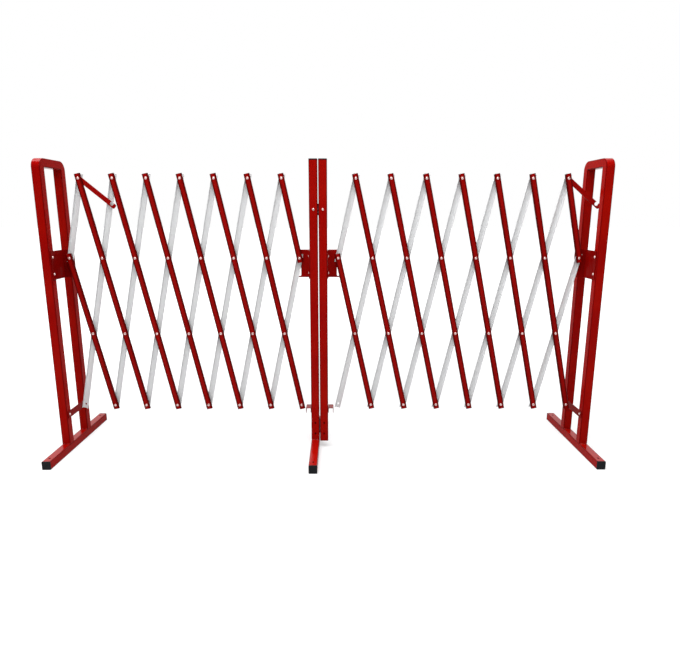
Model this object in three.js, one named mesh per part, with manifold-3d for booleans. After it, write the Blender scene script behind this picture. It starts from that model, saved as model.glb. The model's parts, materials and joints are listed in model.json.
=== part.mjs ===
// Expanding trellis barrier: two scissor lattices of red and white steel slats hang between a
// middle stand and two end stands. Millimetres, +Z up, X along the barrier, -Y towards the viewer.
// The origin is on the floor, in the middle of the whole barrier.

import * as THREE from 'three';
import { mergeVertices } from 'three/addons/utils/BufferGeometryUtils.js';
import Module from 'manifold-3d';

const wasm = await Module();
wasm.setup();

// Driving dimensions.

const fit = 0.3; // running and seating gap between two pieces
const cutMargin = 1; // past a face, so that a cut goes clean through

// steel tube of the stands
const tubeWidth = 30;
const tubeWall = 1.8;
const tubeEdgeRadius = 2.5;

// end stand: an upturned U of tube on a foot
const standHeight = 1050;
const standDepth = 174;
const standOuterBend = 32;
const footLength = 462;
const footHoleInset = 24; // from the end of the foot to its pin hole
const footHoleRadius = 4;
const footHoleSides = 8;
const capThickness = 4;
const capChamfer = 1;
const plugLength = 12;

// middle stand: two posts side by side, only the left one on a foot
const postGap = 3;
const postSetForward = 30; // the posts stand this far in front of the lattice
const rightPostDrop = 5; // the right post reaches a little lower than the left one
const joiningBoltBelowTop = 169;
const postHoleHeights = [54, 96];
const postHoleRadius = 3.5;

// lattice
const bays = 7; // diamonds between the two brackets of one half
const rowCount = 4;
const pivotSpacing = 284; // along a slat
const leftAngle = 12.0; // of a slat from upright, in degrees
const rightAngle = 12.6;
const slatWidth = 21;
const slatDepth = 7;
const slatWall = 1.5;
const slatEdgeRadius = 3;
const slatOverhang = 16; // beyond its last pivot
const layerGap = 3; // between the red and the white slats, room for the hook
const pivotHeight = 710;

// rivet through a red and a white slat
const rivetSleeveRadius = 5;
const rivetShankRadius = 3;
const rivetHeadRadius = 5;
const rivetHeadHeight = 2.6;
const rivetShoulder = { radius: 0.62, height: 0.8 }; // shares of the head
const rivetTailHeight = 1.8;
const rivetSides = 7;

// brackets that carry the end pivots of a lattice
const bracketThickness = 3;
const bracketBend = 4;
const bracketBendShare = 0.3; // of the bend that stays at its middle corner
const bracketHeight = 100;
const bracketAbovePivot = 30;
const bracketEdge = 11; // of plate beyond the pivot
const bracketSeat = 0.5; // from the white slat to the bracket
const endPivotArm = 28; // from the leg to the pivot
const middlePivotArm = 38; // from the post to the pivot
const cornerHoleRadius = 4.5;
const cornerHoleSides = 12;
const cornerHoleAbovePivot = 21;
const slotLength = 33;
const slotBelowPivot = 49;
const webBoltSpacing = 59;
const webBoltAbovePivot = 9;
const webEdge = 6; // from the front of the tube to the edge of the bracket

// bolts
const boltHeadRadius = 4.5;
const boltHeadHeight = 2.6;
const boltShoulder = { radius: 0.6, height: 0.85 }; // shares of the head
const boltShankRadius = 3;
const boltReach = 9; // past the plate, into the tube
const boltSides = 7;

// tie strap low between the legs of an end stand
const tieHeight = 26;
const tieThickness = 3;
const tieCentre = 143;

// stop tab low on each outer side of the middle stand
const stopReach = 20;
const stopThickness = 2;
const stopBelowPivot = 556; // from the pivot row down to the top of the tab
const stopLip = 19;
const stopWidth = 40;

// joining plates behind the two posts
const joiningPlateThickness = 3;
const joiningPlateHeight = 40;
const joiningPlateEdge = 2;

// locking hook on the top row
const hookThickness = 2.4;
const hookDroop = 40; // of the hook below level, in degrees
const hookEyeRadius = 9.5;
const hookWidth = 17;
const hookNotchDistance = 138;
const hookNotchRadius = 6.5;
const hookNotchRise = 2.5;
const hookMouth = 9;
const hookLength = 155;
const hookTipRadius = 5;
const hookArcSteps = 5;

// Sizes that follow.

const degree = Math.PI / 180;
const footHeight = tubeWidth; // the foot is of the same tube

// Corner radius of a hole with flat sides whose flats clear the given radius.
function outerRadius(radius, sides) {
  return radius / Math.cos(Math.PI / sides);
}

const halfLayerGap = layerGap / 2;
const slatFace = halfLayerGap + slatDepth; // from the middle of the lattice to a slat's face
const whiteWebInside = slatFace - slatWall;
const bracketFace = slatFace + bracketSeat;
const bracketBack = bracketFace + bracketThickness;
const boltHoleRadius = outerRadius(boltShankRadius + fit, boltSides);
const rivetHoleRadius = outerRadius(rivetShankRadius + fit, rivetSides);
const lastNode = 2 * bays;
const slatCount = bays + 1; // of each colour in one half
const postCentre = (postGap + tubeWidth) / 2;
const postSide = postGap / 2 + tubeWidth;
const postFront = -postSetForward - tubeWidth / 2;
const postBack = postFront + tubeWidth;
const legCentre = (standDepth - tubeWidth) / 2;
const legFront = -standDepth / 2;
const postTop = standHeight - capThickness;
const joiningBoltHeight = standHeight - joiningBoltBelowTop;
const stopTop = pivotHeight - stopBelowPivot;

// Materials.

const redPaint = { color: 0xa01008, roughness: 0.25, metalness: 0.0 };
const whitePaint = { color: 0xd8d8d6, roughness: 0.3, metalness: 0.0 };
const blackPlastic = { color: 0x1e2226, roughness: 0.5, metalness: 0.0 };
const zincPlate = { color: 0xb9b4b0, roughness: 0.35, metalness: 0.9 };

// Solids.

function solidOf(geometry) {
  const bare = geometry.index ? geometry.toNonIndexed() : geometry.clone();
  bare.deleteAttribute('normal');
  bare.deleteAttribute('uv');
  const merged = mergeVertices(bare, 1e-4);
  return new wasm.Manifold(new wasm.Mesh({
    numProp: 3,
    vertProperties: new Float32Array(merged.attributes.position.array),
    triVerts: new Uint32Array(merged.index.array),
  }));
}

function geometryOf(solid) {
  const mesh = solid.getMesh();
  const geometry = new THREE.BufferGeometry();
  geometry.setAttribute('position', new THREE.BufferAttribute(mesh.vertProperties, 3));
  geometry.setIndex(new THREE.BufferAttribute(mesh.triVerts, 1));
  geometry.computeVertexNormals();
  return geometry;
}

function joined(solids) {
  return solids.reduce((whole, next) => whole.add(next));
}

function cut(solid, tools) {
  return tools.reduce((left, tool) => left.subtract(tool), solid);
}

function box(x0, x1, y0, y1, z0, z1) {
  const geometry = new THREE.BoxGeometry(Math.abs(x1 - x0), y1 - y0, z1 - z0);
  geometry.translate((x0 + x1) / 2, (y0 + y1) / 2, (z0 + z1) / 2);
  return solidOf(geometry);
}

// A cylinder with its axis along X, Y or Z, from one place on that axis to another.
function pin(axis, radius, from, to, centre, sides = 10) {
  const geometry = new THREE.CylinderGeometry(radius, radius, to - from, sides);
  geometry.translate(0, (from + to) / 2, 0);
  if (axis === 'x') geometry.rotateZ(-Math.PI / 2);
  if (axis === 'z') geometry.rotateX(Math.PI / 2);
  geometry.translate(...centre);
  return solidOf(geometry);
}

// A rounded square with its lower left corner at (x0, y0).
function roundedSquare(path, x0, y0, width, height, radius) {
  const x1 = x0 + width;
  const y1 = y0 + height;
  path.moveTo(x0 + radius, y0);
  path.absarc(x1 - radius, y0 + radius, radius, -Math.PI / 2, 0);
  path.absarc(x1 - radius, y1 - radius, radius, 0, Math.PI / 2);
  path.absarc(x0 + radius, y1 - radius, radius, Math.PI / 2, Math.PI);
  path.absarc(x0 + radius, y0 + radius, radius, Math.PI, 1.5 * Math.PI);
  return path;
}

// Section of square tube, centred, to be drawn out along Z.
function tubeSection() {
  const half = tubeWidth / 2;
  const bore = half - tubeWall;
  const shape = roundedSquare(new THREE.Shape(), -half, -half, tubeWidth, tubeWidth, tubeEdgeRadius);
  const inside = new THREE.Path();
  inside.setFromPoints([[-1, -1], [1, -1], [1, 1], [-1, 1]].map(([x, y]) => {
    return new THREE.Vector2(x * bore, y * bore);
  }));
  shape.holes.push(inside);
  return shape;
}

function drawnOut(shape, length, curveSegments = 2) {
  return new THREE.ExtrudeGeometry(shape, { depth: length, bevelEnabled: false, curveSegments });
}

// A domed bolt along Y: its head faces -Y and the plate under it has its front face at y = 0.
function boltGeometry(shankLength) {
  const profile = [
    new THREE.Vector2(0, -boltHeadHeight),
    new THREE.Vector2(boltHeadRadius * boltShoulder.radius, -boltHeadHeight * boltShoulder.height),
    new THREE.Vector2(boltHeadRadius, fit),
    new THREE.Vector2(boltShankRadius, fit),
    new THREE.Vector2(boltShankRadius, shankLength),
    new THREE.Vector2(0, shankLength),
  ];
  return new THREE.LatheGeometry(profile, boltSides);
}

// Pieces of tube.

// Outline of the U in its own plane: across is Y, up is Z; inset moves it into the tube wall.
function standOutline(inset, bottom) {
  const outer = standDepth / 2 - inset;
  const inner = standDepth / 2 - tubeWidth + inset;
  const top = standHeight - inset;
  const opening = standHeight - tubeWidth + inset;
  const outerBend = standOuterBend - inset;
  const innerBend = standOuterBend - tubeWidth + inset;
  const shape = new THREE.Shape();
  shape.moveTo(-outer, bottom);
  shape.lineTo(-inner, bottom);
  shape.lineTo(-inner, opening - innerBend);
  shape.lineTo(-inner + innerBend, opening);
  shape.lineTo(inner - innerBend, opening);
  shape.lineTo(inner, opening - innerBend);
  shape.lineTo(inner, bottom);
  shape.lineTo(outer, bottom);
  shape.absarc(outer - outerBend, top - outerBend, outerBend, 0, Math.PI / 2, false);
  shape.absarc(-outer + outerBend, top - outerBend, outerBend, Math.PI / 2, Math.PI, false);
  return shape;
}

// Turns a shape drawn in (across, up) and drawn out forwards so that it lies in the YZ plane.
function intoStandPlane(geometry, width) {
  geometry.translate(0, 0, -width / 2);
  geometry.rotateX(Math.PI / 2);
  geometry.rotateZ(Math.PI / 2);
  return geometry;
}

// The U of an end stand, centred on x = 0; inward is +1 or -1, the side that faces the lattice.
function standFrame(inward, boltHoles) {
  const seat = footHeight + fit;
  const bevelled = new THREE.ExtrudeGeometry(standOutline(0, 0), {
    depth: tubeWidth - 2 * tubeEdgeRadius,
    bevelThickness: tubeEdgeRadius,
    bevelSize: tubeEdgeRadius,
    bevelOffset: -tubeEdgeRadius,
    bevelSegments: 1,
    curveSegments: 5,
  });
  bevelled.translate(0, 0, tubeEdgeRadius);
  const bar = solidOf(intoStandPlane(bevelled, tubeWidth));
  const boreWidth = tubeWidth - 2 * tubeWall;
  const boreShape = drawnOut(standOutline(tubeWall, -cutMargin), boreWidth, 5);
  const bore = solidOf(intoStandPlane(boreShape, boreWidth));
  const below = box(-tubeWidth, tubeWidth, -standDepth, standDepth, -tubeWidth, seat);
  const wallHoles = boltHoles.map(([y, z]) => {
    const from = inward > 0 ? 0 : -tubeWidth;
    return pin('x', boltHoleRadius, from, from + tubeWidth, [0, y, z], boltSides);
  });
  return geometryOf(cut(bar, [bore, below, ...wallHoles]));
}

// A foot along Y on the floor, with a hole down through it near each end for a ground pin.
function footTube() {
  const geometry = drawnOut(tubeSection(), footLength);
  geometry.rotateX(Math.PI / 2);
  geometry.translate(0, footLength / 2, tubeWidth / 2);
  const holes = [-1, 1].map((end) => {
    const y = end * (footLength / 2 - footHoleInset);
    return pin('z', footHoleRadius, -cutMargin, footHeight + cutMargin, [0, y, 0], footHoleSides);
  });
  return geometryOf(cut(solidOf(geometry), holes));
}

// A moulded end cap with its plug, its outer face towards +Z.
function tubeCap() {
  const chamfer = capChamfer;
  const half = tubeWidth / 2 - chamfer;
  const radius = tubeEdgeRadius - chamfer;
  const face = new THREE.ExtrudeGeometry(
    roundedSquare(new THREE.Shape(), -half, -half, 2 * half, 2 * half, radius),
    { depth: capThickness - chamfer, bevelThickness: chamfer, bevelSize: chamfer, bevelSegments: 1,
      curveSegments: 1 },
  );
  const belowSeat = box(-tubeWidth, tubeWidth, -tubeWidth, tubeWidth, -tubeWidth, 0);
  const overSeat = solidOf(face).subtract(belowSeat);
  const plugHalf = tubeWidth / 2 - tubeWall - fit;
  return geometryOf(overSeat.add(box(-plugHalf, plugHalf, -plugHalf, plugHalf, -plugLength, fit)));
}

// A post of the middle stand from its foot end up, with bolt and screw holes through its faces.
function postTube(bottom) {
  const body = solidOf(drawnOut(tubeSection(), postTop - bottom).translate(0, 0, bottom));
  const reach = tubeWidth / 2 + cutMargin;
  const holes = [pin('y', boltHoleRadius, -reach, reach, [0, 0, joiningBoltHeight], boltSides)];
  for (const height of postHoleHeights) {
    holes.push(pin('y', postHoleRadius, -reach, reach, [0, 0, height], boltSides));
  }
  return { body, holes };
}

// Lattice.

// Rolled channel of a slat; its closed face is at y = side * slatFace and its edges turn inwards.
function slatSection(side) {
  const half = slatWidth / 2;
  const face = side * slatFace;
  const edge = side * halfLayerGap;
  const bend = face - side * slatEdgeRadius;
  const inside = side * whiteWebInside;
  const shape = new THREE.Shape();
  shape.moveTo(-half, edge);
  shape.lineTo(-half, bend);
  shape.absarc(-half + slatEdgeRadius, bend, slatEdgeRadius, Math.PI, side * Math.PI / 2, side > 0);
  shape.absarc(half - slatEdgeRadius, bend, slatEdgeRadius, side * Math.PI / 2, 0, side > 0);
  shape.lineTo(half, edge);
  shape.lineTo(half - slatWall, edge);
  shape.lineTo(half - slatWall, inside);
  shape.lineTo(-half + slatWall, inside);
  shape.lineTo(-half + slatWall, edge);
  return shape;
}

// A rivet along Y: domed head on the red slat, sleeve between the slats, tail behind `grip`.
function rivet(grip) {
  const face = -slatFace;
  const sleeveEnd = whiteWebInside - fit;
  const tail = grip + fit;
  const profile = [
    [0, face - rivetHeadHeight],
    [rivetHeadRadius * rivetShoulder.radius, face - rivetHeadHeight * rivetShoulder.height],
    [rivetHeadRadius, face],
    [rivetSleeveRadius, sleeveEnd],
    [rivetShankRadius, sleeveEnd],
    [rivetShankRadius, tail],
    [rivetHeadRadius, tail],
    [0, tail + rivetTailHeight],
  ].map(([radius, y]) => new THREE.Vector2(radius, y));
  return solidOf(new THREE.LatheGeometry(profile, rivetSides));
}

// The stud in the free end of a slat: a head, and a sleeve that stops at the slat's edges.
function freeStud() {
  const profile = [
    [0, -slatFace - rivetHeadHeight],
    [rivetHeadRadius * rivetShoulder.radius, -slatFace - rivetHeadHeight * rivetShoulder.height],
    [rivetHeadRadius, -slatFace],
    [rivetSleeveRadius, -halfLayerGap - fit],
    [0, -halfLayerGap - fit],
  ].map(([radius, y]) => new THREE.Vector2(radius, y));
  return solidOf(new THREE.LatheGeometry(profile, rivetSides));
}

// A slat with its top pivot at the origin and the rest below it, one every pivotSpacing.
function slatBody(side, pivotCount) {
  const length = (pivotCount - 1) * pivotSpacing + 2 * slatOverhang;
  const geometry = drawnOut(slatSection(side), length);
  geometry.translate(0, 0, slatOverhang - length);
  return solidOf(geometry);
}

function redSlat(pivots) {
  const body = slatBody(-1, pivots.length);
  const rivets = pivots.map((pivot, place) => {
    const grip = pivot.onBracket ? bracketBack : slatFace;
    const piece = pivot.crossed ? rivet(grip) : freeStud();
    return piece.translate([0, 0, -place * pivotSpacing]);
  });
  return geometryOf(joined([body, ...rivets]));
}

function whiteSlat(pivots) {
  const body = slatBody(1, pivots.length);
  const holes = pivots.map((pivot, place) => {
    const centre = [0, 0, -place * pivotSpacing];
    return pin('y', rivetHoleRadius, whiteWebInside - cutMargin, slatFace + cutMargin, centre,
      rivetSides);
  });
  return geometryOf(cut(body, holes));
}

// Flat hook from its eye at the origin along +X, its notch open upwards, drawn in (x, z).
function lockingHook() {
  const half = hookWidth / 2;
  const eyeTurn = Math.asin(half / hookEyeRadius);
  const mouthTurn = Math.acos(hookMouth / 2 / hookNotchRadius);
  const tipStart = hookLength - hookTipRadius;
  const mouthRight = hookNotchDistance + hookMouth / 2;
  const shape = new THREE.Shape();
  shape.absarc(0, 0, hookEyeRadius, eyeTurn, 2 * Math.PI - eyeTurn, false);
  shape.lineTo(tipStart, -half);
  shape.absarc(tipStart, -half + hookTipRadius, hookTipRadius, -Math.PI / 2, 0, false);
  shape.absarc(tipStart, half - hookTipRadius, hookTipRadius, 0, Math.PI / 2, false);
  shape.lineTo(mouthRight, half);
  shape.absarc(hookNotchDistance, hookNotchRise, hookNotchRadius, mouthTurn, Math.PI - mouthTurn, true);
  shape.lineTo(hookNotchDistance - hookMouth / 2, half);
  const eye = new THREE.Path();
  eye.absarc(0, 0, outerRadius(rivetSleeveRadius + fit, 2 * hookArcSteps), 0, 2 * Math.PI, false);
  shape.holes.push(eye);
  const geometry = drawnOut(shape, hookThickness, hookArcSteps);
  geometry.translate(0, 0, -hookThickness / 2);
  geometry.rotateX(Math.PI / 2);
  return geometry;
}

// Brackets, straps and plates.

// An angle bracket: its web lies on the side of a tube at x = 0, from `webFront` back, and its
// flange stands out by `arm` and a little more, behind the slats. The pivot is at (arm, 0, 0).
function angleBracket(outward, arm, webFront, boltY) {
  const seat = outward * fit;
  const skin = outward * (fit + bracketThickness);
  const end = outward * (arm + bracketEdge);
  const bendInside = bracketBend - bracketThickness;
  const shape = new THREE.Shape();
  shape.moveTo(seat, webFront);
  shape.lineTo(skin, webFront);
  shape.lineTo(skin, bracketFace - bendInside);
  shape.lineTo(skin + outward * bendInside, bracketFace);
  shape.lineTo(end, bracketFace);
  shape.lineTo(end, bracketBack);
  shape.lineTo(seat + outward * bracketBend, bracketBack);
  const bendMiddle = bracketBend * bracketBendShare;
  shape.lineTo(seat + outward * bendMiddle, bracketBack - bendMiddle);
  shape.lineTo(seat, bracketBack - bracketBend);
  const plate = solidOf(drawnOut(shape, bracketHeight).translate(0, 0, bracketAbovePivot - bracketHeight));

  const cutFrom = bracketFace - cutMargin;
  const cutTo = bracketBack + cutMargin;
  const through = (radius, z, sides) => pin('y', radius, cutFrom, cutTo, [outward * arm, 0, z], sides);
  const slotEnd = slotLength / 2 - cornerHoleRadius;
  const middle = outward * arm;
  const cuts = [
    through(rivetHoleRadius, 0, rivetSides),
    through(cornerHoleRadius, cornerHoleAbovePivot, cornerHoleSides),
    through(cornerHoleRadius, -slotBelowPivot + slotEnd, cornerHoleSides),
    through(cornerHoleRadius, -slotBelowPivot - slotEnd, cornerHoleSides),
    box(middle - cornerHoleRadius, middle + cornerHoleRadius, cutFrom, cutTo,
      -slotBelowPivot - slotEnd, -slotBelowPivot + slotEnd),
  ];

  const webBolts = [webBoltAbovePivot, webBoltAbovePivot - webBoltSpacing].map((z) => {
    const bolt = boltGeometry(bracketThickness + fit + boltReach);
    bolt.rotateZ(outward * Math.PI / 2);
    bolt.translate(skin, boltY, z);
    return solidOf(bolt);
  });
  return geometryOf(joined([cut(plate, cuts), ...webBolts]));
}

// The strap that ties the legs of an end stand, bolted on their inner sides at x = 0.
function tieStrap(inward) {
  const strap = box(inward * fit, inward * (fit + tieThickness), -legCentre - tubeWidth / 3,
    legCentre + tubeWidth / 3, -tieHeight / 2, tieHeight / 2);
  const bolts = [-legCentre, legCentre].map((y) => {
    const bolt = boltGeometry(tieThickness + fit + boltReach);
    bolt.rotateZ(inward * Math.PI / 2);
    bolt.translate(inward * (fit + tieThickness), y, 0);
    return solidOf(bolt);
  });
  return geometryOf(joined([strap, ...bolts]));
}

// A bent tab on the side of a post at x = 0 that stops the lowest slat end.
function stopTab(outward) {
  const seat = outward * fit;
  const skin = outward * (fit + stopThickness);
  const lipInside = outward * (stopReach - stopThickness);
  const shape = new THREE.Shape();
  shape.moveTo(seat, -stopLip);
  shape.lineTo(skin, -stopLip);
  shape.lineTo(skin, -stopThickness);
  shape.lineTo(lipInside, -stopThickness);
  shape.lineTo(lipInside, -stopLip);
  shape.lineTo(outward * stopReach, -stopLip);
  shape.lineTo(outward * stopReach, -stopThickness / 2);
  shape.lineTo(outward * (stopReach - stopThickness / 2), 0);
  shape.lineTo(seat, 0);
  const geometry = drawnOut(shape, stopWidth);
  geometry.rotateX(Math.PI / 2);
  return geometry;
}

// A plate behind both posts; each height in `through` has a bolt that runs through each post.
function joiningPlate(height, heights, throughPosts) {
  const reach = postSide - joiningPlateEdge;
  const back = postBack + fit;
  const plate = box(-reach, reach, back, back + joiningPlateThickness, -height / 2, height / 2);
  const bolts = [];
  for (const z of heights) {
    for (const x of [-postCentre, postCentre]) {
      if (throughPosts) {
        const bolt = boltGeometry(tubeWidth + 2 * fit + joiningPlateThickness);
        bolt.translate(x, postFront - fit, z);
        bolts.push(solidOf(bolt));
      } else {
        const bolt = boltGeometry(joiningPlateThickness + fit + boltReach);
        bolt.rotateZ(Math.PI);
        bolt.translate(x, back + joiningPlateThickness, z);
        bolts.push(solidOf(bolt));
      }
    }
  }
  return geometryOf(joined([plate, ...bolts]));
}

// Assembly.

const barrier = new THREE.Group();
barrier.name = 'expanding_barrier';

function addPiece(group, name, geometry, finish, place = [0, 0, 0], turn = [0, 0, 0]) {
  const mesh = new THREE.Mesh(geometry, new THREE.MeshStandardMaterial(finish));
  mesh.name = name;
  mesh.position.set(...place);
  mesh.rotation.set(...turn);
  group.add(mesh);
  return mesh;
}

// One half of the lattice. `firstNode` is the place of node column 0, on the pivot row.
function addLattice(side, slatAngle, firstNode, hookNode) {
  const lean = slatAngle * degree;
  const step = pivotSpacing * Math.sin(lean);
  const rise = pivotSpacing * Math.cos(lean);
  const half = new THREE.Group();
  half.position.set(firstNode, 0, pivotHeight);
  barrier.add(half);
  const lastRow = rowCount - 1;
  const nodePlace = (column, row) => [column * step, 0, (1 - row) * rise];
  const inside = (column) => column >= 0 && column <= lastNode;
  const isRed = (column, row) => column - row >= -1 && column - row <= lastNode - 1;
  const isWhite = (column, row) => {
    const bottom = column - (lastRow - row);
    return bottom >= -2 && bottom <= lastNode - 2;
  };
  const addSlat = (name, columnAt, crossedBy, build, finish, turn) => {
    const pivots = [];
    for (let row = 0; row < rowCount; row += 1) {
      const column = columnAt(row);
      if (inside(column)) {
        const onBracket = row === 1 && (column === 0 || column === lastNode);
        pivots.push({ column, row, onBracket, crossed: crossedBy(column, row) });
      }
    }
    const top = pivots[0];
    addPiece(half, name, build(pivots), finish, nodePlace(top.column, top.row), [0, turn, 0]);
  };
  for (let index = 0; index < slatCount; index += 1) {
    const topColumn = 2 * index - 1;
    const bottomColumn = 2 * index - 2;
    addSlat(`${side}_red_slat_${index + 1}`, (row) => topColumn + row, isWhite, redSlat, redPaint, -lean);
    addSlat(`${side}_white_slat_${index + 1}`, (row) => bottomColumn + lastRow - row, isRed,
      whiteSlat, whitePaint, lean);
  }
  const hookTurn = [0, hookDroop * degree, 0];
  addPiece(half, `${side}_hook`, lockingHook(), redPaint, nodePlace(hookNode, 0), hookTurn);
  return lastNode * step;
}

// One end stand; `inner` is the x of its legs' inner sides and `inward` points to the lattice.
function addEndStand(side, inner, inward) {
  const stand = new THREE.Group();
  stand.position.set(inner - inward * tubeWidth / 2, 0, 0);
  barrier.add(stand);
  const face = inward * tubeWidth / 2;
  const webBoltY = -legCentre;
  const boltHoles = [
    [webBoltY, pivotHeight + webBoltAbovePivot],
    [webBoltY, pivotHeight + webBoltAbovePivot - webBoltSpacing],
    [-legCentre, tieCentre],
    [legCentre, tieCentre],
  ];
  const capEnd = footLength / 2 + fit;
  addPiece(stand, `${side}_stand_frame`, standFrame(inward, boltHoles), redPaint);
  addPiece(stand, `${side}_foot`, footTube(), redPaint);
  addPiece(stand, `${side}_foot_cap_front`, tubeCap(), blackPlastic,
    [0, -capEnd, footHeight / 2], [Math.PI / 2, 0, 0]);
  addPiece(stand, `${side}_foot_cap_rear`, tubeCap(), blackPlastic,
    [0, capEnd, footHeight / 2], [-Math.PI / 2, 0, 0]);
  addPiece(stand, `${side}_end_bracket`,
    angleBracket(inward, endPivotArm, legFront + webEdge, webBoltY), redPaint,
    [face, 0, pivotHeight]);
  addPiece(stand, `${side}_tie_strap`, tieStrap(inward), redPaint, [face, 0, tieCentre]);
}

function addMiddleStand() {
  const seat = footHeight + fit;
  const posts = [['left', -1, seat], ['right', 1, footHeight - rightPostDrop]];
  for (const [side, outward, bottom] of posts) {
    const { body, holes } = postTube(bottom);
    const sideHoles = [webBoltAbovePivot, webBoltAbovePivot - webBoltSpacing].map((z) => {
      const from = outward > 0 ? 0 : -tubeWidth;
      const centre = [0, 0, pivotHeight + z];
      return pin('x', boltHoleRadius, from, from + tubeWidth, centre, boltSides);
    });
    const place = [outward * postCentre, -postSetForward, 0];
    const outer = outward * postSide;
    addPiece(barrier, `${side}_post`, geometryOf(cut(body, [...holes, ...sideHoles])), redPaint, place);
    addPiece(barrier, `${side}_post_cap`, tubeCap(), blackPlastic,
      [place[0], place[1], postTop + fit]);
    addPiece(barrier, `${side}_post_bracket`,
      angleBracket(outward, middlePivotArm, postFront + webEdge, -postSetForward), redPaint,
      [outer, 0, pivotHeight]);
    addPiece(barrier, `${side}_stop_tab`, stopTab(outward), redPaint,
      [outer, postFront + webEdge + stopWidth, stopTop]);
  }
  const footPlace = [-postCentre, -postSetForward, 0];
  const capEnd = footLength / 2 + fit;
  addPiece(barrier, 'middle_foot', footTube(), redPaint, footPlace);
  addPiece(barrier, 'middle_foot_cap_front', tubeCap(), blackPlastic,
    [footPlace[0], footPlace[1] - capEnd, footHeight / 2], [Math.PI / 2, 0, 0]);
  addPiece(barrier, 'middle_foot_cap_rear', tubeCap(), blackPlastic,
    [footPlace[0], footPlace[1] + capEnd, footHeight / 2], [-Math.PI / 2, 0, 0]);
  addPiece(barrier, 'upper_joining_plate', joiningPlate(joiningPlateHeight, [0], true), zincPlate,
    [0, 0, joiningBoltHeight]);
  const holeMiddle = (postHoleHeights[0] + postHoleHeights[1]) / 2;
  const lowerHeight = postHoleHeights[1] - postHoleHeights[0] + joiningPlateHeight / 2;
  addPiece(barrier, 'lower_joining_plate',
    joiningPlate(lowerHeight, postHoleHeights.map((z) => z - holeMiddle), false), zincPlate,
    [0, 0, holeMiddle]);
}

addMiddleStand();
const pivotX = postSide + middlePivotArm;
const leftSpan = lastNode * pivotSpacing * Math.sin(leftAngle * degree);
const rightSpan = addLattice('right', rightAngle, pivotX, lastNode - 1);
addLattice('left', leftAngle, -pivotX - leftSpan, 1);
const leftInner = -pivotX - leftSpan - endPivotArm;
const rightInner = pivotX + rightSpan + endPivotArm;
addEndStand('left', leftInner, 1);
addEndStand('right', rightInner, -1);

// The origin is below the middle of the whole barrier; the middle foot stands out in front.
barrier.position.x = -(leftInner + rightInner) / 2;
barrier.position.y = postSetForward / 2;

export default barrier;
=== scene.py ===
# Looks for an expanding trellis barrier: painted square tube stands, rolled red and white slats,
# zinc rivets and bolts, moulded black caps, on a pale studio floor. Sizes of pieces are in
# millimetres; the studio and the widths in the finishes are in metres.
import json
import math
import bmesh
import bpy
from mathutils import Matrix, Vector


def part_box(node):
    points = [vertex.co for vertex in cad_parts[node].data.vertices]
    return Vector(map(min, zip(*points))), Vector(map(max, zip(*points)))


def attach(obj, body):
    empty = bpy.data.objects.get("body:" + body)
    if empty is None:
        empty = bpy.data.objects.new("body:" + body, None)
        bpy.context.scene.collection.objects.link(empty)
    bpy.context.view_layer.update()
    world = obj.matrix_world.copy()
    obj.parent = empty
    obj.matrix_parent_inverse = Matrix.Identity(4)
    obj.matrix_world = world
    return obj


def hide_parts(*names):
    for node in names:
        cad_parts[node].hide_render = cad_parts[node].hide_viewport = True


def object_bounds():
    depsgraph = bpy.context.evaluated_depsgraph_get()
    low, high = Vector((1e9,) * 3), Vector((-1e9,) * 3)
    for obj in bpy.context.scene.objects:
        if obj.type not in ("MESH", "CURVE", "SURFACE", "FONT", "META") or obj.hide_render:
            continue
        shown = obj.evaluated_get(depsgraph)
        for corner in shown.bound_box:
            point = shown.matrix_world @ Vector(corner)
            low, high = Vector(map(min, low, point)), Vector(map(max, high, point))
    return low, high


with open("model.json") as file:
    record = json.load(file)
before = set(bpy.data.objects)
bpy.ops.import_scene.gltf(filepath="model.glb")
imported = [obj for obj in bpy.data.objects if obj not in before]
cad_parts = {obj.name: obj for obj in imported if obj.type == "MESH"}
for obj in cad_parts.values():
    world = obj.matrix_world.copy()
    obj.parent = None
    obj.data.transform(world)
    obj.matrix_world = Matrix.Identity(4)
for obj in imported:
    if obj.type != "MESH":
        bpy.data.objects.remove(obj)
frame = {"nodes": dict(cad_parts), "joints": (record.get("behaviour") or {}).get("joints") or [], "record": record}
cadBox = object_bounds()
mm = 0.001
fit = 0.3        # the gap that the solids keep between two pieces
cutMargin = 5    # past a face, so that a cut goes clean through
inFrame = Matrix.Identity(4)    # for pieces that are made where the frame has them
print("frame loaded with", len(frame["nodes"]), "nodes")


# Places taken from the frame.

columnCount = 14    # steps from the first node column of a half to its last
rowCount = 4
topRowJoints = {"left": "left_white_1_pivot", "right": "right_red_2_pivot"}


def jointPlace(name):
    return next(Vector(joint["pos_m"]) for joint in frame["joints"] if joint["name"] == name)


def bodyOf(node):
    bodies = frame["record"]["behaviour"]["bodies"]
    return next(body for body, nodes in bodies.items() if node in nodes)


def boxOf(node):
    # both corners of a node's box, in millimetres
    low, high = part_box(node)
    return low / mm, high / mm


def latticeOf(side):
    # the first pivot on the pivot row, the distances between columns and rows, the slats' lean
    pivots = [jointPlace(side + "_lattice_main"), jointPlace(side + "_end_stand_pivot")]
    first, last = sorted(pivots, key=lambda place: place.x)
    step = (last.x - first.x) / columnCount
    rise = jointPlace(topRowJoints[side]).z - first.z
    return {"first": first, "step": step, "rise": rise, "lean": math.atan2(step, rise),
            "spacing": math.hypot(step, rise) / mm}


lattices = {side: latticeOf(side) for side in ("left", "right")}


def nodePlace(side, column, row):
    # row 0 is the top one and row 1 the pivot row
    lattice = lattices[side]
    return lattice["first"] + Vector((column * lattice["step"], 0, (1 - row) * lattice["rise"]))


# Node helpers for the finishes.

def newFinish(name):
    finish = bpy.data.materials.new(name)
    finish.use_nodes = True
    shader = finish.node_tree.nodes["Principled BSDF"]
    return finish, finish.node_tree, shader


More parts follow.
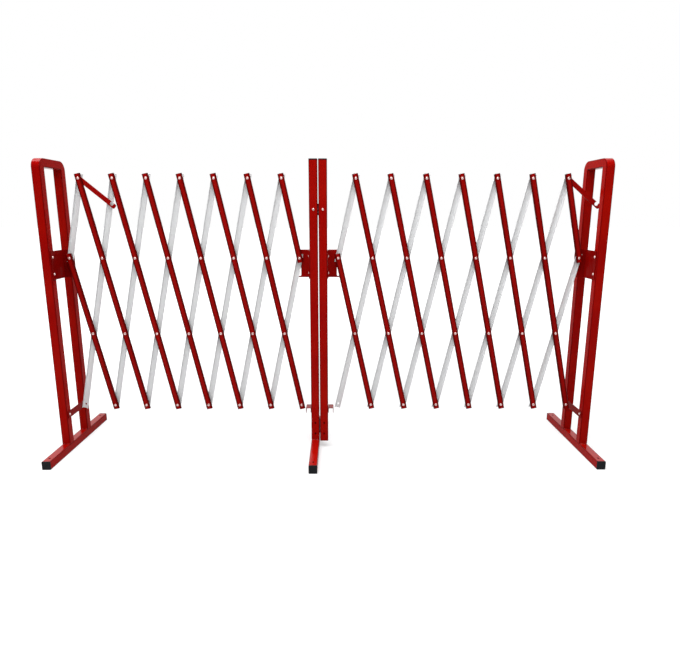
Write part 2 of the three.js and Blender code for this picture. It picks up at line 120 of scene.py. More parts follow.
def addNode(tree, kind, **settings):
    node = tree.nodes.new(kind)
    for key, value in settings.items():
        if key in node.inputs:
            node.inputs[key].default_value = value
        else:
            setattr(node, key, value)
    return node


def cloud(tree, grain):
    # noise in the object's own place; a grain is its scale, detail and roughness
    scale, detail, roughness = grain
    noise = addNode(tree, "ShaderNodeTexNoise", Scale=scale, Detail=detail, Roughness=roughness)
    place = tree.nodes.new("ShaderNodeTexCoord").outputs["Object"]
    tree.links.new(place, noise.inputs["Vector"])
    return noise.outputs["Fac"]


def spread(tree, source, band, low, high):
    # brings the values of a band to the range from low to high
    ranged = tree.nodes.new("ShaderNodeMapRange")
    ends = (("From Min", band[0]), ("From Max", band[1]), ("To Min", low), ("To Max", high))
    for key, value in ends:
        ranged.inputs[key].default_value = value
    tree.links.new(source, ranged.inputs["Value"])
    return ranged.outputs["Result"]


def blendColour(tree, factor, first, second):
    mix = addNode(tree, "ShaderNodeMix", data_type="RGBA")
    tree.links.new(factor, mix.inputs[0])
    for socket, value in ((mix.inputs[6], first), (mix.inputs[7], second)):
        if isinstance(value, tuple):
            socket.default_value = (*value, 1)
        else:
            tree.links.new(value, socket)
    return mix.outputs[2]


def combine(tree, operation, first, second):
    result = addNode(tree, "ShaderNodeMath", operation=operation)
    tree.links.new(first, result.inputs[0])
    tree.links.new(second, result.inputs[1])
    return result.outputs[0]


def edgeMask(tree, width, reach):
    # 1 along edges, 0 on the flats, from how far a softened normal leans away
    soft = addNode(tree, "ShaderNodeBevel", samples=4, Radius=width)
    place = tree.nodes.new("ShaderNodeNewGeometry")
    dot = addNode(tree, "ShaderNodeVectorMath", operation="DOT_PRODUCT")
    tree.links.new(soft.outputs[0], dot.inputs[0])
    tree.links.new(place.outputs["Normal"], dot.inputs[1])
    return spread(tree, dot.outputs["Value"], (1.0, 1.0 - reach), 0.0, 1.0)


def roughen(tree, shader, strength, depth, grain):
    bump = addNode(tree, "ShaderNodeBump", Strength=strength, Distance=depth)
    tree.links.new(cloud(tree, grain), bump.inputs["Height"])
    tree.links.new(bump.outputs[0], shader.inputs["Normal"])


# Paint: a drifting colour, painted shade that darkens rims and rolled edges, worn edges, dust, uneven gloss, a
# painted sheen that is stronger on upward faces, and peel.

standPaint = {
    "colour": (0.38, 0.0044, 0.0016),
    "driftColour": (0.32, 0.0022, 0.0014), "driftGrain": (7.0, 3.0, 0.5), "driftBand": (0.35, 0.65),
    # painted shade: rims darkened through a bevel mask, where edges turn away from the light
    "paintedRimShadeColour": (0.18, 0.0014, 0.001), "rimWidth": 0.002, "rimReach": 0.2,
    "rimGrain": (30.0, 3.0, 0.5), "rimBand": (0.2, 0.8), "rimLeast": 0.7,
    "paintedEdgeShadeColour": (0.16, 0.001, 0.001),    # painted shade of rounded corners, by the mesh's own edge tone
    "wear": 0.45, "wearColour": (0.58, 0.08, 0.06), "wearWidth": 0.0012, "wearReach": 0.25,
    "wearGrain": (55.0, 6.0, 0.65), "wearBand": (0.52, 0.68),
    "dust": 0.06, "dustColour": (0.55, 0.10, 0.08),
    "dustGrain": (240.0, 8.0, 0.7), "dustBand": (0.6, 0.8),
    "gloss": (0.13, 0.24), "glossGrain": (16.0, 5.0, 0.5), "glossBand": (0.3, 0.7),
    "shine": 0.015, "paintedTopSheen": 0.28, "topBand": (0.5, 0.95),    # upward faces get more sheen: a painted reflection, set by which way a face points
    "coat": 0.005, "coatRoughness": 0.06,
    "peel": 0.22, "peelDepth": 0.0002, "peelGrain": (420.0, 2.0, 0.5),
}
# the slat paints set their own painted shade for rims and rolled edges
slatRedPaint = dict(
    standPaint, colour=(0.34, 0.0042, 0.003), driftColour=(0.29, 0.003, 0.0022),
    wear=0.4, wearWidth=0.0008, paintedRimShadeColour=(0.16, 0.001, 0.001), paintedEdgeShadeColour=(0.07, 0.0008, 0.0008),
)
# a darker copy of the stand paint: painted shade for the end brackets, which sit in shadow; straps and tabs take
# it too, and the post brackets start from it with lighter colours
shadedBracketPaint = dict(
    standPaint, colour=(0.24, 0.002, 0.0014), driftColour=(0.19, 0.0016, 0.001),
    paintedRimShadeColour=(0.12, 0.001, 0.001),
)
postBracketPaint = dict(
    shadedBracketPaint, colour=(0.36, 0.0034, 0.002), driftColour=(0.30, 0.0026, 0.0016),
)
slatWhitePaint = dict(
    standPaint, colour=(0.84, 0.845, 0.85), driftColour=(0.79, 0.795, 0.80),
    paintedRimShadeColour=(0.70, 0.705, 0.71), paintedEdgeShadeColour=(0.78, 0.785, 0.79),
    wear=0.35, wearColour=(0.42, 0.40, 0.38), wearWidth=0.0008,
    dust=0.10, dustColour=(0.62, 0.60, 0.57), gloss=(0.2, 0.34), shine=0.3, paintedTopSheen=0.3,
)


def paintFinish(name, look):
    finish, tree, shader = newFinish(name)
    drift = spread(tree, cloud(tree, look["driftGrain"]), look["driftBand"], 0.0, 1.0)
    colour = blendColour(tree, drift, look["colour"], look["driftColour"])
    # painted shade on the rims, made a little uneven
    uneven = spread(tree, cloud(tree, look["rimGrain"]), look["rimBand"], look["rimLeast"], 1.0)
    rim = combine(tree, "MULTIPLY", edgeMask(tree, look["rimWidth"], look["rimReach"]), uneven)
    colour = blendColour(tree, rim, colour, look["paintedRimShadeColour"])
    # painted shade on rolled edges and rounded corners, from the mesh's edge tones
    rolled = addNode(tree, "ShaderNodeAttribute", attribute_name="paintedEdgeShade")
    colour = blendColour(tree, rolled.outputs["Fac"], colour, look["paintedEdgeShadeColour"])
    chips = spread(tree, cloud(tree, look["wearGrain"]), look["wearBand"], 0.0, look["wear"])
    wear = combine(tree, "MULTIPLY", edgeMask(tree, look["wearWidth"], look["wearReach"]), chips)
    colour = blendColour(tree, wear, colour, look["wearColour"])
    dust = spread(tree, cloud(tree, look["dustGrain"]), look["dustBand"], 0.0, look["dust"])
    colour = blendColour(tree, dust, colour, look["dustColour"])
    tree.links.new(colour, shader.inputs["Base Color"])
    rough = spread(tree, cloud(tree, look["glossGrain"]), look["glossBand"], *look["gloss"])
    tree.links.new(rough, shader.inputs["Roughness"])
    # painted sheen: the strength of reflection is set by which way a face points, upward faces more
    facing = tree.nodes.new("ShaderNodeSeparateXYZ")
    tree.links.new(tree.nodes.new("ShaderNodeTexCoord").outputs["Normal"], facing.inputs[0])
    sheen = spread(tree, facing.outputs["Z"], look["topBand"], look["shine"], look["paintedTopSheen"])
    tree.links.new(sheen, shader.inputs["Specular IOR Level"])
    shader.inputs["Coat Weight"].default_value = look["coat"]
    shader.inputs["Coat Roughness"].default_value = look["coatRoughness"]
    roughen(tree, shader, look["peel"], look["peelDepth"], look["peelGrain"])
    return finish


redStand = paintFinish("redStandPaint", standPaint)
redSlat = paintFinish("redSlatPaint", slatRedPaint)
# the darker bracket finish carries painted shade
shadedRedBracket = paintFinish("redBracketPaint", shadedBracketPaint)
redPostBracket = paintFinish("redPostBracketPaint", postBracketPaint)
whiteSlat = paintFinish("whiteSlatPaint", slatWhitePaint)


# Zinc: a patchy metal with small dents. The rivets' colours are tinted pink, a painted reflection of the red paint
# around them.

rivetLook = {
    # pink tint in both colours: painted reflection of the red around the rivets; the bolts share this finish
    "colour": (0.82, 0.60, 0.58), "darkColour": (0.60, 0.40, 0.38), "metal": 0.85,
    "patchGrain": (260.0, 4.0, 0.5), "patchBand": (0.35, 0.7),
    "rough": (0.22, 0.42), "roughGrain": (500.0, 3.0, 0.5), "roughBand": (0.3, 0.7),
    "dents": 0.25, "dentDepth": 0.0002, "dentGrain": (700.0, 3.0, 0.5),
}
plateLook = dict(
    rivetLook, colour=(0.40, 0.41, 0.43), darkColour=(0.27, 0.28, 0.30),
    patchGrain=(90.0, 4.0, 0.5), rough=(0.35, 0.55),
)


def zincFinish(name, look):
    finish, tree, shader = newFinish(name)
    patch = spread(tree, cloud(tree, look["patchGrain"]), look["patchBand"], 0.0, 1.0)
    colour = blendColour(tree, patch, look["colour"], look["darkColour"])
    tree.links.new(colour, shader.inputs["Base Color"])
    rough = spread(tree, cloud(tree, look["roughGrain"]), look["roughBand"], *look["rough"])
    tree.links.new(rough, shader.inputs["Roughness"])
    shader.inputs["Metallic"].default_value = look["metal"]
    roughen(tree, shader, look["dents"], look["dentDepth"], look["dentGrain"])
    return finish


rivetZinc = zincFinish("rivetZinc", rivetLook)
plateZinc = zincFinish("plateZinc", plateLook)


# Moulded black with scuffed edges.

plasticLook = {
    "colour": (0.011, 0.012, 0.014), "shine": 0.08,
    "scuffColour": (0.05, 0.053, 0.057), "scuff": 0.8, "scuffWidth": 0.0015, "scuffReach": 0.3,
    "scuffGrain": (120.0, 6.0, 0.5), "scuffBand": (0.45, 0.65),
    "rough": (0.34, 0.52), "roughGrain": (60.0, 3.0, 0.5), "roughBand": (0.3, 0.7),
    "texture": 0.3, "textureDepth": 0.00025, "textureGrain": (1500.0, 2.0, 0.5),
}


def plasticFinish(name, look):
    finish, tree, shader = newFinish(name)
    marks = spread(tree, cloud(tree, look["scuffGrain"]), look["scuffBand"], 0.0, look["scuff"])
    scuff = combine(tree, "MULTIPLY", edgeMask(tree, look["scuffWidth"], look["scuffReach"]), marks)
    colour = blendColour(tree, scuff, look["colour"], look["scuffColour"])
    tree.links.new(colour, shader.inputs["Base Color"])
    rough = spread(tree, cloud(tree, look["roughGrain"]), look["roughBand"], *look["rough"])
    tree.links.new(rough, shader.inputs["Roughness"])
    shader.inputs["Specular IOR Level"].default_value = look["shine"]
    roughen(tree, shader, look["texture"], look["textureDepth"], look["textureGrain"])
    return finish


blackCap = plasticFinish("mouldedBlack", plasticLook)
print("finishes made")


# Mesh helpers, in millimetres about a local origin.

softening = {"smoothAngle": 32, "bevelAngle": 40, "bevelSegments": 2}


def loft(mesh, sections, closeEnds=True, tones=None):
    # joins rings of equal count, one after another; tones are the edge tones of each ring's points, the strength
    # of painted shade there
    if tones:
        layers = mesh.verts.layers.float
        layer = layers.get("paintedEdgeShade") or layers.new("paintedEdgeShade")
    rings = [[mesh.verts.new(point) for point in section] for section in sections]
    if tones:
        for ring in rings:
            for vertex, tone in zip(ring, tones):
                vertex[layer] = tone
    for near, far in zip(rings, rings[1:]):
        joinRims(mesh, near, far)
    if closeEnds:
        mesh.faces.new(list(reversed(rings[0])))
        mesh.faces.new(rings[-1])
    return rings


def joinRims(mesh, near, far):
    count = len(near)
    for index in range(count):
        after = (index + 1) % count
        mesh.faces.new((near[index], near[after], far[after], far[index]))


def arc(centre, radius, start, stop, steps):
    points = []
    for step in range(steps + 1):
        turn = math.radians(start + (stop - start) * step / steps)
        points.append((centre[0] + radius * math.cos(turn), centre[1] + radius * math.sin(turn)))
    return points


def circle(centre, radius, steps=20):
    return arc(centre, radius, 0, 360, steps)[:-1]


def roundedSquare(half, radius, steps=4, margin=0.0):
    # a margin adds a point on the flats before and after each corner
    inner = half - radius
    corners = (((inner, -inner), -90), ((inner, inner), 0), ((-inner, inner), 90),
               ((-inner, -inner), 180))
    points = []
    for corner, start in corners:
        curve = arc(corner, radius, start, start + 90, steps)
        if margin:
            turn = math.radians(start)
            along = (margin * math.sin(turn), -margin * math.cos(turn))
            back = (-margin * math.cos(turn), -margin * math.sin(turn))
            before = (curve[0][0] + along[0], curve[0][1] + along[1])
            after = (curve[-1][0] + back[0], curve[-1][1] + back[1])
            curve = [before, *curve, after]
        points += curve
    return points


def turnedForm(mesh, profile, place, steps=20):
    # a turned form about Y: the profile is (radius, y) from front to back
    rings = []
    for radius, depth in profile:
        if radius > 0:
            outline = circle((0, 0), radius, steps)
            rings.append([mesh.verts.new(place @ Vector((x, depth, z))) for x, z in outline])
        else:
            rings.append([mesh.verts.new(place @ Vector((0, depth, 0)))])
    for near, far in zip(rings, rings[1:]):
        if len(near) > 1 and len(far) > 1:
            joinRims(mesh, near, far)
            continue
        for step in range(steps):
            after = (step + 1) % steps
            if len(near) == 1:
                mesh.faces.new((near[0], far[after], far[step]))
            else:
                mesh.faces.new((near[step], near[after], far[0]))


def domeProfile(radius, height, base, steps=5):
    # from the crown to the rim of a shallow domed head; the head rises towards -Y
    points = []
    for step in range(steps + 1):
        turn = math.pi / 2 * step / steps
        points.append((radius * math.sin(turn), base - height * math.cos(turn)))
    return points


def newObject(name, mesh, place):
    # closes the working mesh, brings it to metres in its place and links it
    bmesh.ops.recalc_face_normals(mesh, faces=mesh.faces)
    bmesh.ops.transform(mesh, matrix=place @ Matrix.Scale(mm, 4), verts=mesh.verts)
    data = bpy.data.meshes.new(name)
    mesh.to_mesh(data)
    mesh.free()
    made = bpy.data.objects.new(name, data)
    bpy.context.scene.collection.objects.link(made)
    return made


def cutAway(piece, cuts, place):
    # bores and slots along y or z, given as (axis, outline, from, to) in the piece's millimetres
    tool = bmesh.new()
    for axis, outline, low, high in cuts:
        if axis == "y":
            loft(tool, [[(a, depth, b) for a, b in outline] for depth in (low, high)])
        else:
            loft(tool, [[(a, b, depth) for a, b in outline] for depth in (low, high)])
    toolObject = newObject("cutTool", tool, place)
    boolean = piece.modifiers.new("cut", "BOOLEAN")
    boolean.operation = "DIFFERENCE"
    boolean.solver = "EXACT"
    boolean.object = toolObject
    graph = bpy.context.evaluated_depsgraph_get()
    cutMesh = bpy.data.meshes.new_from_object(piece.evaluated_get(graph))
    piece.modifiers.clear()
    piece.data = cutMesh
    bpy.data.objects.remove(toolObject)


def finishPiece(name, mesh, finish, place, node=None, body=None, softEdge=0.0, cuts=()):
    # turns the working mesh into an object in the frame, cut, softened and riding on its body
    piece = newObject(name, mesh, place)
    piece.data.materials.append(finish)
    if cuts:
        cutAway(piece, cuts, place)
    for face in piece.data.polygons:
        face.use_smooth = True
    piece.data.set_sharp_from_angle(angle=math.radians(softening["smoothAngle"]))
    if softEdge:
        bevel = piece.modifiers.new("softEdge", "BEVEL")
        bevel.width = softEdge * mm
        bevel.segments = softening["bevelSegments"]
        bevel.limit_method = "ANGLE"
        bevel.angle_limit = math.radians(softening["bevelAngle"])
        bevel.harden_normals = True
    if node:
        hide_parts(node)
    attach(piece, body or bodyOf(node))


# Slats and their rivets.

slat = {
    "width": 21, "depth": 7, "wall": 1.5, "edgeRadius": 3, "overhang": 16,
    "halfGap": 1.5,       # from the middle of the lattice to a slat's edges
    "arcSteps": 5, "softEdge": 0.25,
    "toneMargin": 4.5,    # of flat beside a rolled edge, over which its painted shade fades
    "toneAtFlat": 0.75,
}
rivet = {
    "headRadius": 4.9, "headHeight": 2.5, "sleeveRadius": 4.9, "shankRadius": 3, "holeRadius": 3.6,
    "neck": 0.1,          # from the slat's face to where the sleeve begins
    "tailRadius": 4.8, "tailHeight": 1.7, "tailShoulder": 0.5, "tailShares": (0.85, 0.4),
    "bracketBack": 12,    # from the middle of the lattice to the back of a bracket
}


def slatSection(side):
    # the channel's outline and its edge tones: painted shade, dark on the rolled edges, none in the middle
    half = slat["width"] / 2
    radius = slat["edgeRadius"]
    edge = slat["halfGap"]
    face = edge + slat["depth"]
    bend = face - radius
    flat = half - radius - slat["toneMargin"]
    outerEdge = [(half, edge)] + arc((half - radius, bend), radius, 0, 90, slat["arcSteps"])
    fade = (1 - slat["toneAtFlat"]) / (len(outerEdge) - 1)
    tones = [1 - fade * count for count in range(len(outerEdge))]
    points = [(-x, y) for x, y in outerEdge] + [(-flat, face), (flat, face)] + outerEdge[::-1]
    outerTones = tones + [0.0, 0.0] + tones[::-1]
    innerRadius = radius - slat["wall"]
    points.append((half - slat["wall"], edge))
    points += arc((half - radius, bend), innerRadius, 0, 90, slat["arcSteps"])
    points += arc((-half + radius, bend), innerRadius, 90, 180, slat["arcSteps"])
    points.append((-half + slat["wall"], edge))
    innerTones = [1.0] * (len(points) - len(outerTones))
    return [(x, side * y) for x, y in points], outerTones + innerTones


def slatPivots(colour, index):
    # (column, row) of each pivot of a slat, from the top down
    pivots = []
    for row in range(rowCount):
        column = 2 * index - 1 + row if colour == "red" else 2 * index + 1 - row
        if 0 <= column <= columnCount:
            pivots.append((column, row))
    return pivots


def crossed(colour, column, row):
    # whether a slat of this colour runs through the node
    return any((column, row) in slatPivots(colour, index) for index in range(columnCount // 2 + 1))


def makeSlat(side, colour, index):
    spacing = lattices[side]["spacing"]
    pivots = slatPivots(colour, index)
    lean, layer = (-lattices[side]["lean"], -1) if colour == "red" else (lattices[side]["lean"], 1)
    place = Matrix.Translation(nodePlace(side, *pivots[0])) @ Matrix.Rotation(lean, 4, "Y")
    bottom = -(len(pivots) - 1) * spacing - slat["overhang"]
    section, tones = slatSection(layer)
    mesh = bmesh.new()
    loft(mesh, [[(x, y, z) for x, y in section] for z in (bottom, slat["overhang"])], tones=tones)
    cuts = []
    if colour == "white":
        for count, pivot in enumerate(pivots):
            if not crossed("red", *pivot):
                outline = circle((0, -count * spacing), rivet["holeRadius"])
                cuts.append(("y", outline, slat["halfGap"], slat["halfGap"] + 2 * slat["depth"]))
    node = f"{side}_{colour}_slat_{index + 1}"
    finish = redSlat if colour == "red" else whiteSlat
    finishPiece(node + "_look", mesh, finish, place, node=node,
                softEdge=slat["softEdge"], cuts=cuts)
    if colour == "red":
        makeRivets(side, node, pivots, place)


def makeRivets(side, node, pivots, place):
    face = slat["halfGap"] + slat["depth"]
    neck = -face + rivet["neck"]
    sleeveEnd = face - slat["wall"] - fit
    mesh = bmesh.new()
    for count, (column, row) in enumerate(pivots):
        profile = domeProfile(rivet["headRadius"], rivet["headHeight"], -face)
        if crossed("white", column, row):
            onBracket = row == 1 and column in (0, columnCount)
            back = (rivet["bracketBack"] if onBracket else face) + fit
            crown = back + rivet["tailHeight"]
            shoulder, crownShare = rivet["tailShares"]
            profile += [
                (rivet["sleeveRadius"], neck), (rivet["sleeveRadius"], sleeveEnd),
                (rivet["shankRadius"], sleeveEnd), (rivet["shankRadius"], back),
                (rivet["tailRadius"], back),
                (rivet["tailRadius"] * shoulder, crown - rivet["tailShoulder"]),
                (rivet["tailRadius"] * crownShare, crown), (0, crown),
            ]
        else:
            studEnd = -slat["halfGap"] - fit
            profile += [(rivet["shankRadius"], neck), (rivet["shankRadius"], studEnd), (0, studEnd)]
        turnedForm(mesh, profile, Matrix.Translation((0, 0, -count * lattices[side]["spacing"])))
    finishPiece(node + "_rivets", mesh, rivetZinc, place, body=bodyOf(node))


for side in lattices:
    for index in range(columnCount // 2 + 1):
        makeSlat(side, "red", index)
        makeSlat(side, "white", index)
print("slats and rivets made")


# Locking hooks.

hook = {
    "thickness": 2.4, "width": 17, "length": 155, "tipRadius": 5,
    "droop": 40,    # below level, in degrees
    "eyeRadius": 9.5, "pinRadius": 5.3, "notchAt": 138, "notchRadius": 6.5, "notchRise": 2.5, "mouth": 9,
    "curveSteps": 24, "tipSteps": 6, "softEdge": 0.5,
}


def hookOutline():
    half = hook["width"] / 2
    eyeTurn = math.degrees(math.asin(half / hook["eyeRadius"]))
    mouthTurn = math.degrees(math.acos(hook["mouth"] / 2 / hook["notchRadius"]))
    tip, tipRadius = hook["length"] - hook["tipRadius"], hook["tipRadius"]
    notch = (hook["notchAt"], hook["notchRise"])
    points = arc((0, 0), hook["eyeRadius"], eyeTurn, 360 - eyeTurn, hook["curveSteps"])
    points += arc((tip, -half + tipRadius), tipRadius, -90, 0, hook["tipSteps"])
    points += arc((tip, half - tipRadius), tipRadius, 0, 90, hook["tipSteps"])
    points += [(hook["notchAt"] + hook["mouth"] / 2, half)]
    points += arc(notch, hook["notchRadius"], mouthTurn, -180 - mouthTurn, hook["curveSteps"])
    points += [(hook["notchAt"] - hook["mouth"] / 2, half)]
    return points


def makeHook(side, column):
    droop = Matrix.Rotation(math.radians(hook["droop"]), 4, "Y")
    place = Matrix.Translation(nodePlace(side, column, 0)) @ droop
    half = hook["thickness"] / 2
    mesh = bmesh.new()
    loft(mesh, [[(x, y, z) for x, z in hookOutline()] for y in (-half, half)])
    eye = ("y", circle((0, 0), hook["pinRadius"], hook["curveSteps"]), -cutMargin, cutMargin)
    finishPiece(side + "_hook_look", mesh, redSlat, place, node=side + "_hook",
                softEdge=hook["softEdge"], cuts=[eye])


makeHook("left", 1)
makeHook("right", columnCount - 1)
print("hooks made")


# Square tube: frames, feet and posts.

tube = {
    "width": 30, "wall": 1.8, "edgeRadius": 2.5, "boreRadius": 1.2,
    "bendRadius": 17,    # of the tube's middle line at the top of an end stand
    "bendSteps": 14, "cornerSteps": 4, "holeSteps": 24,
    "toneMargin": 1.6,   # of flat beside a corner, over which its painted shade fades
    "toneAtFlat": 0.45,
}
foot = {"holeRadius": 4, "holeInset": 24}
post = {"holeRadius": 3.5, "holeHeights": (54, 96), "holeSteps": 20}


def cornerShadeTones():
    # painted shade, darkest in the middle of each corner, none on the flats
    steps = tube["cornerSteps"]
    rise = 1 - tube["toneAtFlat"]
    corner = [tube["toneAtFlat"] + rise * math.sin(math.pi * count / steps)
              for count in range(steps + 1)]
    return [0.0, *corner, 0.0] * 4


def makeTube(name, stations, node, cuts=()):
    # each station gives (centre, across, up) along the tube's middle line
    mesh = bmesh.new()
    skins = []
    for inset, radius in ((0, tube["edgeRadius"]), (tube["wall"], tube["boreRadius"])):
        outline = roundedSquare(tube["width"] / 2 - inset, radius, tube["cornerSteps"],
                                tube["toneMargin"])
        sections = [[centre + across * a + up * b for a, b in outline]
                    for centre, across, up in stations]
        skins.append(loft(mesh, sections, closeEnds=False, tones=cornerShadeTones()))
    outer, inner = skins
    joinRims(mesh, outer[0], inner[0])
    joinRims(mesh, outer[-1], inner[-1])
    finishPiece(name, mesh, redStand, inFrame, node=node, cuts=cuts)


def makeStandFrame(side):
    node = side + "_stand_frame"
    low, high = boxOf(node)
    centreX = (low.x + high.x) / 2
    half = tube["width"] / 2
    front, back, top = low.y + half, high.y - half, high.z - half
    bend = tube["bendRadius"]
    across = Vector((1, 0, 0))
    stations = [(Vector((centreX, front, low.z)), across, Vector((0, -1, 0)))]
    for centreY, start in ((front + bend, 180), (back - bend, 90)):
        for step in range(tube["bendSteps"] + 1):
            turn = math.radians(start - 90 * step / tube["bendSteps"])
            outward = Vector((0, math.cos(turn), math.sin(turn)))
            centre = Vector((centreX, centreY, top - bend)) + outward * bend
            stations.append((centre, across, outward))
    stations.append((Vector((centreX, back, low.z)), across, Vector((0, 1, 0))))
    makeTube(node + "_look", stations, node)


def makeFoot(name):
    low, high = boxOf(name)
    middle = (low + high) / 2
    across, up = Vector((1, 0, 0)), Vector((0, 0, 1))
    stations = [(Vector((middle.x, y, middle.z)), across, up) for y in (low.y, high.y)]
    cuts = []
    for y in (low.y + foot["holeInset"], high.y - foot["holeInset"]):
        outline = circle((middle.x, y), foot["holeRadius"], tube["holeSteps"])
        cuts.append(("z", outline, low.z - cutMargin, high.z + cutMargin))
    makeTube(name + "_look", stations, name, cuts)


def makePost(name):
    low, high = boxOf(name)
    middle = (low + high) / 2
    across, inward = Vector((1, 0, 0)), Vector((0, 1, 0))
    stations = [(Vector((middle.x, middle.y, z)), across, inward) for z in (low.z, high.z)]
    cuts = []
    for z in post["holeHeights"]:
        outline = circle((middle.x, z), post["holeRadius"], post["holeSteps"])
        cuts.append(("y", outline, low.y - cutMargin, high.y + cutMargin))
    makeTube(name + "_look", stations, name, cuts)


# Moulded caps: a plug inside the tube, a flange on its end and a softened outer face.

cap = {
    "thickness": 4, "plugLength": 12, "plugTaper": 0.6, "plugTaperLength": 0.8,
    # of the outer face, from the rim inwards: distance from its highest place, inset from the side
    "face": ((-1.4, 0), (-0.7, 0.25), (-0.25, 0.7), (0, 1.5), (-0.35, 4.5)),
    "cornerShare": 0.4,    # of an inset that comes off the corner radius
    "cornerLeast": 0.8,
}


def makeCap(name):
    low, high = boxOf(name)
    size = high - low
    axis = min(range(3), key=lambda number: size[number])
    others = [number for number in range(3) if number != axis]
    middle = (low + high) / 2
    tubeLow, tubeHigh = boxOf(name.rsplit("_cap", 1)[0])
    outward = 1 if middle[axis] > (tubeLow[axis] + tubeHigh[axis]) / 2 else -1
    face = high[axis] if outward > 0 else low[axis]
    plugInset = tube["wall"] + fit
    seat = -cap["thickness"]
    plugEnd = seat - cap["plugLength"]
    stations = [(plugEnd, plugInset + cap["plugTaper"]), (plugEnd + cap["plugTaperLength"], plugInset),
                (seat, plugInset), (seat, 0), *cap["face"]]
    sections = []
    for depth, inset in stations:
        radius = max(tube["edgeRadius"] - inset * cap["cornerShare"], cap["cornerLeast"])
        section = []
        for a, b in roundedSquare(tube["width"] / 2 - inset, radius):
            point = Vector(middle)
            point[others[0]] += a
            point[others[1]] += b
            point[axis] = face + outward * depth
            section.append(point)
        sections.append(section)
    mesh = bmesh.new()
    loft(mesh, sections)
    finishPiece(name + "_look", mesh, blackCap, inFrame, node=name)


# Weld beads: a rippled fillet across the foot, before and behind each leg.

weld = {
    "length": 25, "width": 4.2, "rise": 3.4, "sunk": 0.4, "steps": 64,
    "ripple": 0.125, "rippleStep": 1.6,
    "endFade": 0.7, "endSharpness": 8,    # how far and how suddenly a bead thins at its ends
    # the bead's section in shares of its width and rise
    "section": ((-0.1, 0), (1, 0), (0.8, 0.35), (0.45, 0.7), (0.1, 1), (-0.1, 1)),
}


def makeWelds(name, legs):
    # legs are the front and back of each leg along the foot
    low, high = boxOf(name)
    middle = (low.x + high.x) / 2
    base = high.z - weld["sunk"]
    mesh = bmesh.new()
    for front, back in legs:
        for y, outward in ((front, -1), (back, 1)):
            sections = []
            for step in range(weld["steps"] + 1):
                along = weld["length"] * (step / weld["steps"] - 0.5)
                fade = 1 - abs(2 * along / weld["length"]) ** weld["endSharpness"] * weld["endFade"]
                ripple = weld["ripple"] * math.sin(2 * math.pi * along / weld["rippleStep"])
                swell = fade * (1 + ripple)
                reach, rise = outward * weld["width"] * swell, weld["rise"] * swell
                sections.append([(middle + along, y + a * reach, base + b * rise)
                                 for a, b in weld["section"]])
            loft(mesh, sections)
    finishPiece(name + "_welds", mesh, redStand, inFrame, body=bodyOf(name))


for side in ("left", "right"):
    makeStandFrame(side)
    legLow, legHigh = boxOf(side + "_stand_frame")
    frontLeg = (legLow.y, legLow.y + tube["width"])
    rearLeg = (legHigh.y - tube["width"], legHigh.y)
    makeWelds(side + "_foot", (frontLeg, rearLeg))
    makeFoot(side + "_foot")
    makePost(side + "_post")
    makeCap(side + "_post_cap")
    for end in ("front", "rear"):
        makeCap(f"{side}_foot_cap_{end}")
makeFoot("middle_foot")
postLow, postHigh = boxOf("left_post")
makeWelds("middle_foot", ((postLow.y, postHigh.y),))
for end in ("front", "rear"):
    makeCap(f"middle_foot_cap_{end}")
print("stands made")


# Brackets: pressed angles with a hole, a slot and the pivot's bore, and their bolts.

bracket = {
    "thickness": 3, "height": 100, "abovePivot": 30, "edge": 11,
    "bend": 4, "innerBendSteps": 3, "outerBendSteps": 6, "softEdge": 0.5,
    "holeRadius": 4.5, "holeAbovePivot": 21, "holeSteps": 24,
    "slotBelowPivot": 49, "slotLength": 33, "slotSteps": 12,
    "boltAbovePivot": 9, "boltSpacing": 59,
}
bolt = {"radius": 4.4, "height": 2.5, "shank": 3, "reach": 9}


def addBolt(mesh, head, towards):
    # head is the middle of the bearing face; towards is where the crown points
    turn = Vector((0, -1, 0)).rotation_difference(towards).to_matrix().to_4x4()
    profile = domeProfile(bolt["radius"], bolt["height"], 0)
    profile += [(bolt["shank"], 0.0), (bolt["shank"], bolt["reach"]), (0, bolt["reach"])]
    turnedForm(mesh, profile, Matrix.Translation(head) @ turn)


def makeBolts(name, heads, towards):
    bolts = bmesh.new()
    for head in heads:
        addBolt(bolts, head, towards)
    finishPiece(name + "_bolts", bolts, rivetZinc, inFrame, body=bodyOf(name))


def slotOutline(x, z):
    radius = bracket["holeRadius"]
    half = bracket["slotLength"] / 2 - radius
    upper = arc((x, z + half), radius, 0, 180, bracket["slotSteps"])
    return upper + arc((x, z - half), radius, 180, 360, bracket["slotSteps"])


